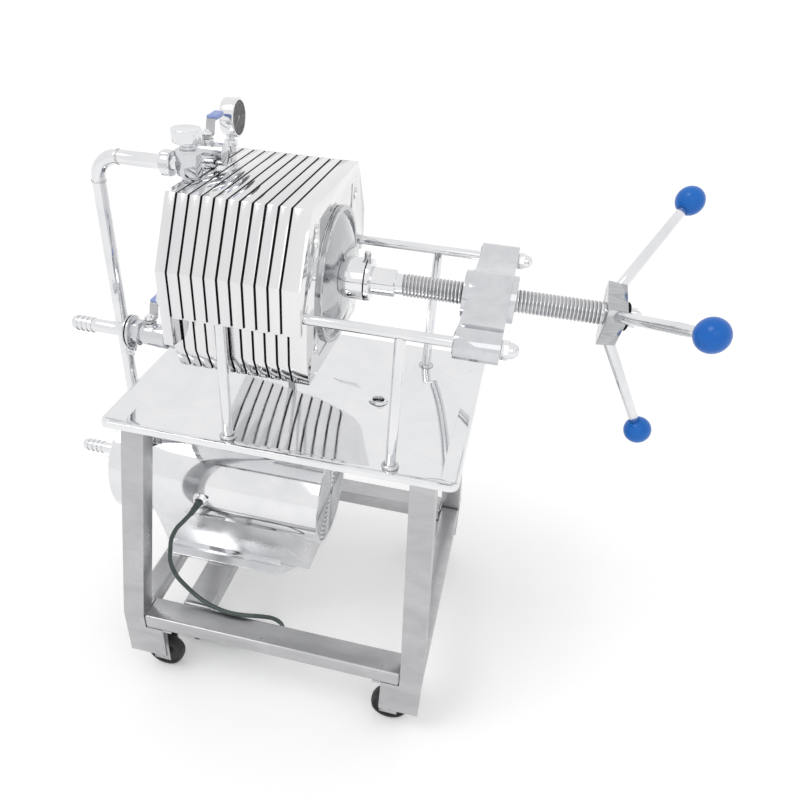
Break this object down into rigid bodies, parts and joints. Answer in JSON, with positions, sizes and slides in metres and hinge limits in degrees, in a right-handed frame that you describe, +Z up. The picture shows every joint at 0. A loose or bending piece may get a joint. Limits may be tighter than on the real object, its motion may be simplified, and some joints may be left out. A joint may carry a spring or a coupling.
{
  "type": "plate filter press",
  "caption": "Stainless plate filter press on a wheeled table: polished plates on two rails, clamping screw with ball-knob star, drip tray, pump and motor below, valves and gauge.",
  "frame": {"origin": "centre of the bounding box at floor level", "axes": "+X from the pump and valve end to the hand star, +Y away from the side that the cord comes out of, +Z up"},
  "size_m": [0.9549, 0.454, 0.9023],
  "materials": {
    "mirror_steel": "mirror-polished stainless steel",
    "satin_steel": "satin stainless tube and bar",
    "cast_steel": "polished stainless casting",
    "knob_blue": "glossy moulded plastic",
    "sleeve_blue": "soft vinyl sleeve on a steel lever",
    "tyre_black": "matt black rubber",
    "cord_green": "matt grey-green cable sheath"
  },
  "bodies": {
    "frame": {"tray": "mirror_steel", "drain_socket": "mirror_steel", "leg_1": "satin_steel", "leg_2": "satin_steel", "leg_3": "satin_steel", "leg_4": "satin_steel", "low_rail_front": "satin_steel", "low_rail_back": "satin_steel", "low_rail_left": "satin_steel", "low_rail_right": "satin_steel", "pump_bar": "satin_steel", "rail_front": "mirror_steel", "rail_back": "mirror_steel", "post_front_left": "mirror_steel", "post_front_right": "mirror_steel", "post_back_left": "mirror_steel", "post_back_right": "mirror_steel", "crosshead": "cast_steel", "fixed_plate": "mirror_steel", "pump": "mirror_steel", "motor_shroud": "mirror_steel", "cable_gland": "cast_steel", "discharge_pipe": "mirror_steel", "vent_valve": "cast_steel", "upper_valve": "cast_steel", "gauge": "mirror_steel", "outlet_valve": "cast_steel", "outlet_tail": "mirror_steel", "outlet_flange": "mirror_steel", "power_cord": "cord_green", "cord_hank": "cord_green", "cord_plug": "tyre_black"},
    "screw": {"screw": "satin_steel", "hand_star": "mirror_steel", "knob_1": "knob_blue", "knob_2": "knob_blue", "knob_3": "knob_blue"},
    "clamp": {"clamp_plate": "mirror_steel"},
    "plate_1": {"filter_plate_1": "mirror_steel"},
    "plate_2": {"filter_plate_2": "mirror_steel"},
    "plate_3": {"filter_plate_3": "mirror_steel"},
    "plate_4": {"filter_plate_4": "mirror_steel"},
    "plate_5": {"filter_plate_5": "mirror_steel"},
    "plate_6": {"filter_plate_6": "mirror_steel"},
    "plate_7": {"filter_plate_7": "mirror_steel"},
    "plate_8": {"filter_plate_8": "mirror_steel"},
    "plate_9": {"filter_plate_9": "mirror_steel"},
    "vent_knob": {"vent_knob": "mirror_steel"},
    "upper_lever": {"upper_lever": "sleeve_blue"},
    "outlet_lever": {"outlet_lever": "sleeve_blue"},
    "wheel_1": {"wheel_1": "tyre_black"},
    "wheel_2": {"wheel_2": "tyre_black"},
    "wheel_3": {"wheel_3": "tyre_black"},
    "wheel_4": {"wheel_4": "tyre_black"}
  },
  "joints": [
    {"name": "press_slide", "type": "slide", "parent": "frame", "child": "clamp", "axis": [1, 0, 0], "range_m": [0, 0.06]},
    {"name": "screw_turn", "type": "hinge", "parent": "clamp", "child": "screw", "pos_m": [0.2035, 0, 0.7], "axis": [1, 0, 0], "range_deg": [0, 4320]},
    {"name": "plate_1_slide", "type": "slide", "parent": "frame", "child": "plate_1", "axis": [1, 0, 0], "range_m": [0, 0.006]},
    {"name": "plate_2_slide", "type": "slide", "parent": "frame", "child": "plate_2", "axis": [1, 0, 0], "range_m": [0, 0.012]},
    {"name": "plate_3_slide", "type": "slide", "parent": "frame", "child": "plate_3", "axis": [1, 0, 0], "range_m": [0, 0.018]},
    {"name": "plate_4_slide", "type": "slide", "parent": "frame", "child": "plate_4", "axis": [1, 0, 0], "range_m": [0, 0.024]},
    {"name": "plate_5_slide", "type": "slide", "parent": "frame", "child": "plate_5", "axis": [1, 0, 0], "range_m": [0, 0.03]},
    {"name": "plate_6_slide", "type": "slide", "parent": "frame", "child": "plate_6", "axis": [1, 0, 0], "range_m": [0, 0.036]},
    {"name": "plate_7_slide", "type": "slide", "parent": "frame", "child": "plate_7", "axis": [1, 0, 0], "range_m": [0, 0.042]},
    {"name": "plate_8_slide", "type": "slide", "parent": "frame", "child": "plate_8", "axis": [1, 0, 0], "range_m": [0, 0.048]},
    {"name": "plate_9_slide", "type": "slide", "parent": "frame", "child": "plate_9", "axis": [1, 0, 0], "range_m": [0, 0.054]},
    {"name": "vent_turn", "type": "hinge", "parent": "frame", "child": "vent_knob", "pos_m": [-0.19155, -0.055, 0.88], "axis": [0, 0, 1], "range_deg": [0, 360]},
    {"name": "upper_lever_turn", "type": "hinge", "parent": "frame", "child": "upper_lever", "pos_m": [-0.19155, 0.004, 0.868], "axis": [0, 0, 1], "range_deg": [0, 90]},
    {"name": "outlet_lever_turn", "type": "hinge", "parent": "frame", "child": "outlet_lever", "pos_m": [-0.2405, -0.12, 0.648], "axis": [0, 0, 1], "range_deg": [0, 90]},
    {"name": "wheel_1_spin", "type": "hinge", "parent": "frame", "child": "wheel_1", "pos_m": [-0.2515, -0.198, 0.0325], "axis": [0, 1, 0], "continuous": true},
    {"name": "wheel_2_spin", "type": "hinge", "parent": "frame", "child": "wheel_2", "pos_m": [0.1585, -0.198, 0.0325], "axis": [0, 1, 0], "continuous": true},
    {"name": "wheel_3_spin", "type": "hinge", "parent": "frame", "child": "wheel_3", "pos_m": [0.1585, 0.198, 0.0325], "axis": [0, 1, 0], "continuous": true},
    {"name": "wheel_4_spin", "type": "hinge", "parent": "frame", "child": "wheel_4", "pos_m": [-0.2515, 0.198, 0.0325], "axis": [0, 1, 0], "continuous": true}
  ],
  "couplings": [
    {"joint": "press_slide", "follows": "screw_turn", "m_per_rad": 0.00079577},
    {"joint": "plate_1_slide", "follows": "screw_turn", "m_per_rad": 0.000079577},
    {"joint": "plate_2_slide", "follows": "screw_turn", "m_per_rad": 0.00015915},
    {"joint": "plate_3_slide", "follows": "screw_turn", "m_per_rad": 0.00023873},
    {"joint": "plate_4_slide", "follows": "screw_turn", "m_per_rad": 0.00031831},
    {"joint": "plate_5_slide", "follows": "screw_turn", "m_per_rad": 0.00039789},
    {"joint": "plate_6_slide", "follows": "screw_turn", "m_per_rad": 0.00047746},
    {"joint": "plate_7_slide", "follows": "screw_turn", "m_per_rad": 0.00055704},
    {"joint": "plate_8_slide", "follows": "screw_turn", "m_per_rad": 0.00063662},
    {"joint": "plate_9_slide", "follows": "screw_turn", "m_per_rad": 0.0007162}
  ]
}
